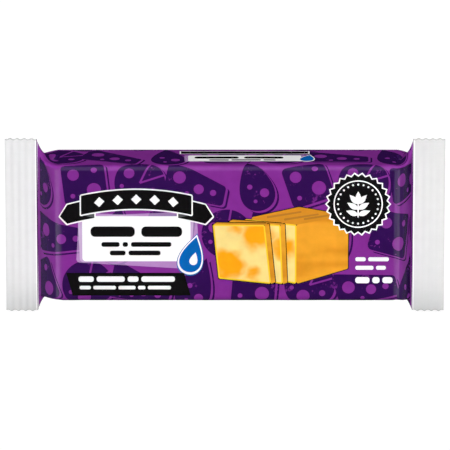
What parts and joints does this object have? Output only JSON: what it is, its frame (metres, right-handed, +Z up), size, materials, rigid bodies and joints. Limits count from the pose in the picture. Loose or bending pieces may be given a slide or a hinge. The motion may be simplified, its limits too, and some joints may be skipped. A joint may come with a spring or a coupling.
{
  "type": "flow-wrapped cheese block",
  "caption": "Sealed flow-wrapped block of marbled cheese in glossy printed film, with gusseted tapered ends and white ribbed end seals, lying on its back.",
  "frame": {"origin": "on the surface that the pack lies on, under the middle of the pack", "axes": "+X along the pack, to the right as its front panel is read; +Y across it, towards the panel's upper edge; +Z up, out of the front panel"},
  "size_m": [0.1792, 0.0732, 0.028],
  "materials": {
    "printed_film": "glossy printed packaging film, purple with dark purple shapes, and white at the end seals"
  },
  "bodies": {
    "root": {"pack": "printed_film"}
  },
  "joints": []
}
